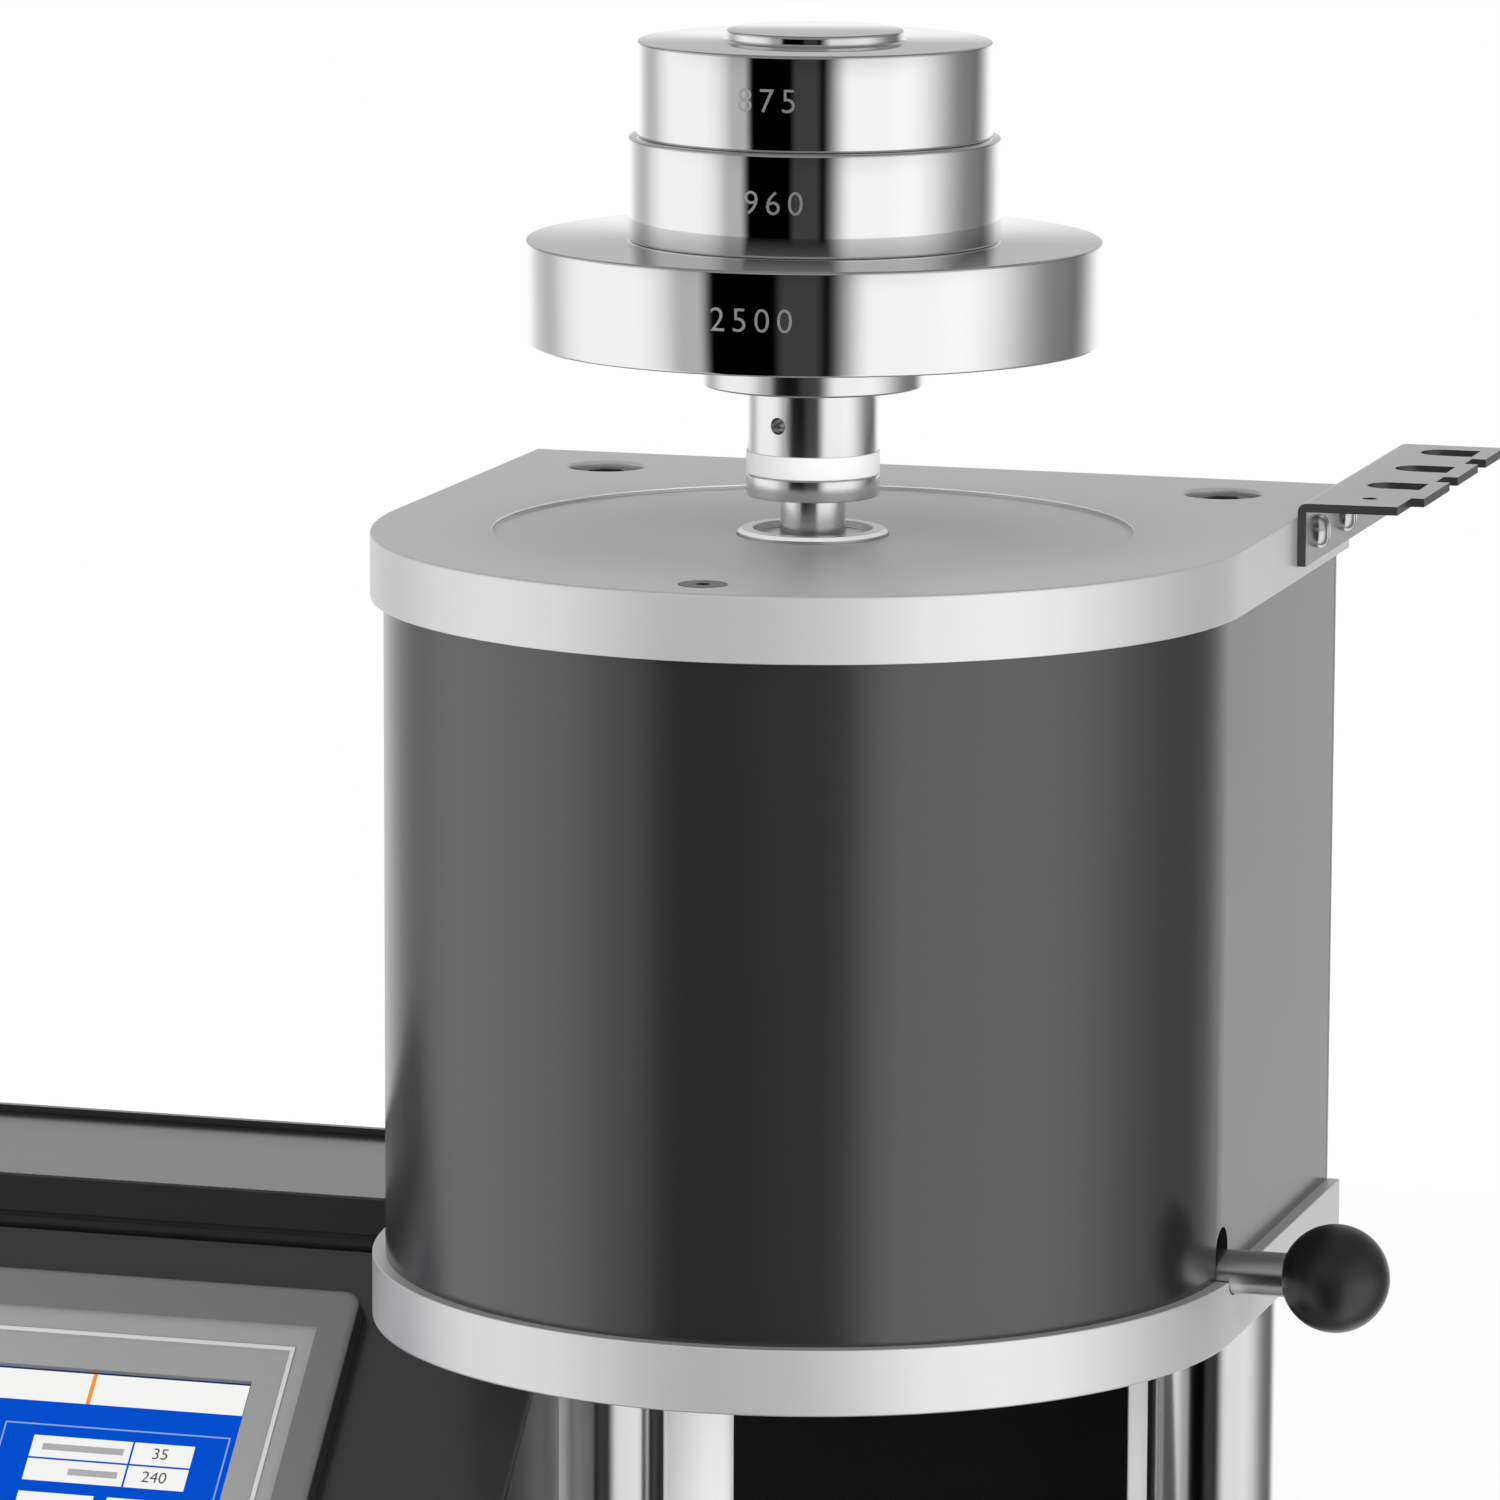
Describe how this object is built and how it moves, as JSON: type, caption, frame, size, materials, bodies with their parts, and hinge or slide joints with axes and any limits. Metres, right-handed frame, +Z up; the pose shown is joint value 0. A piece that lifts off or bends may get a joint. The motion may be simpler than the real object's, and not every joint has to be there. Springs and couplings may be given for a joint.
{
  "type": "melt flow index tester",
  "caption": "Bench melt flow tester: heated barrel with weighted piston on chrome columns, die-release lever and a sloped touch-panel console.",
  "frame": {"origin": "middle of the whole footprint, on the bench that the four feet stand on", "axes": "+Z up along the barrel, +X to the die lever's side, +Y to the back where the mains inlet is"},
  "size_m": [0.525, 0.319, 0.5731],
  "materials": {
    "painted_shell": "satin powder coat",
    "furnace_paint": "semi-gloss enamel",
    "satin_aluminium": "fine satin, clear anodised",
    "light_paint": "satin",
    "black_plastic": "fine matt",
    "grey_plastic": "fine matt",
    "screen_glass": "lit display behind gloss film",
    "glossy_black": "gloss",
    "plain_steel": "brushed or rolled",
    "polished_steel": "polished",
    "turned_steel": "finely turned",
    "white_insulator": "matt",
    "mineral_wool": "pressed fibre",
    "bronze": "machined",
    "rubber": "matt",
    "board": "satin",
    "vial_glass": "clear"
  },
  "bodies": {
    "frame": {"back_panel": "light_paint", "back_window": "black_plastic", "barrel": "turned_steel", "base_housing": "painted_shell", "base_plate": "plain_steel", "bottom_plate": "satin_aluminium", "cable_duct": "painted_shell", "column_bolts": "plain_steel", "columns": "polished_steel", "console_cover": "painted_shell", "console_front": "painted_shell", "console_housing": "painted_shell", "control_board": "board", "cutter_bracket": "plain_steel", "cutter_motor": "black_plastic", "deck_plate": "satin_aluminium", "die": "turned_steel", "foot_stems": "plain_steel", "front_post": "plain_steel", "front_screw": "plain_steel", "furnace_back_cover": "furnace_paint", "furnace_shell": "furnace_paint", "heater_bands": "plain_steel", "heating_block": "bronze", "inlet_pins": "bronze", "insulation": "mineral_wool", "level_housing": "bronze", "level_vial": "vial_glass", "mains_inlet": "black_plastic", "panel_clamps": "plain_steel", "power_supply": "plain_steel", "rack_screws": "plain_steel", "spacers": "plain_steel", "temperature_probe": "plain_steel", "tie_bolts": "plain_steel", "tool_rack": "turned_steel", "top_plate": "satin_aluminium", "touch_bezel": "grey_plastic", "touch_case": "black_plastic", "touch_screen": "screen_glass"},
    "piston": {"piston_rod": "turned_steel", "guide_sleeve": "turned_steel", "piston_collar": "turned_steel", "insulating_ring": "white_insulator", "piston_head": "turned_steel"},
    "large_weight": {"weight_2500": "polished_steel"},
    "middle_weight": {"weight_960": "polished_steel"},
    "small_weight": {"weight_875": "polished_steel"},
    "die_lever": {"die_gate": "plain_steel", "lever_rod": "polished_steel", "ball_knob": "black_plastic"},
    "cutter": {"cutter_arm": "plain_steel", "cutter_blade": "plain_steel"},
    "power_switch": {"power_rocker": "glossy_black"},
    "fuse_tray": {"fuse_drawer": "glossy_black"},
    "foot_fl": {"foot_front_left": "rubber"},
    "foot_fr": {"foot_front_right": "rubber"},
    "foot_bl": {"foot_back_left": "rubber"},
    "foot_br": {"foot_back_right": "rubber"}
  },
  "joints": [
    {"name": "piston_lift", "type": "slide", "parent": "frame", "child": "piston", "axis": [0, 0, 1], "range_m": [0, 0.17]},
    {"name": "large_weight_lift", "type": "slide", "parent": "piston", "child": "large_weight", "axis": [0, 0, 1], "range_m": [0, 0.06]},
    {"name": "middle_weight_lift", "type": "slide", "parent": "large_weight", "child": "middle_weight", "axis": [0, 0, 1], "range_m": [0, 0.06]},
    {"name": "small_weight_lift", "type": "slide", "parent": "middle_weight", "child": "small_weight", "axis": [0, 0, 1], "range_m": [0, 0.06]},
    {"name": "die_lever_pull", "type": "slide", "parent": "frame", "child": "die_lever", "axis": [1, 0, 0], "range_m": [0, 0.022]},
    {"name": "cutter_swing", "type": "hinge", "parent": "frame", "child": "cutter", "pos_m": [0.0725, 0.0365, 0.275], "axis": [0, 0, 1], "range_deg": [-70, 0]},
    {"name": "power_switch_rock", "type": "hinge", "parent": "frame", "child": "power_switch", "pos_m": [-0.1579, 0.156, 0.05], "axis": [1, 0, 0], "range_deg": [-16, 0]},
    {"name": "fuse_tray_pull", "type": "slide", "parent": "frame", "child": "fuse_tray", "axis": [0, 1, 0], "range_m": [0, 0.012]},
    {"name": "foot_swivel_fl", "type": "hinge", "parent": "frame", "child": "foot_fl", "pos_m": [-0.2245, -0.1215, 0.005], "axis": [0, 0, 1], "continuous": true},
    {"name": "foot_swivel_fr", "type": "hinge", "parent": "frame", "child": "foot_fr", "pos_m": [0.2245, -0.1215, 0.005], "axis": [0, 0, 1], "continuous": true},
    {"name": "foot_swivel_bl", "type": "hinge", "parent": "frame", "child": "foot_bl", "pos_m": [-0.2245, 0.1175, 0.005], "axis": [0, 0, 1], "continuous": true},
    {"name": "foot_swivel_br", "type": "hinge", "parent": "frame", "child": "foot_br", "pos_m": [0.2245, 0.1175, 0.005], "axis": [0, 0, 1], "continuous": true}
  ]
}
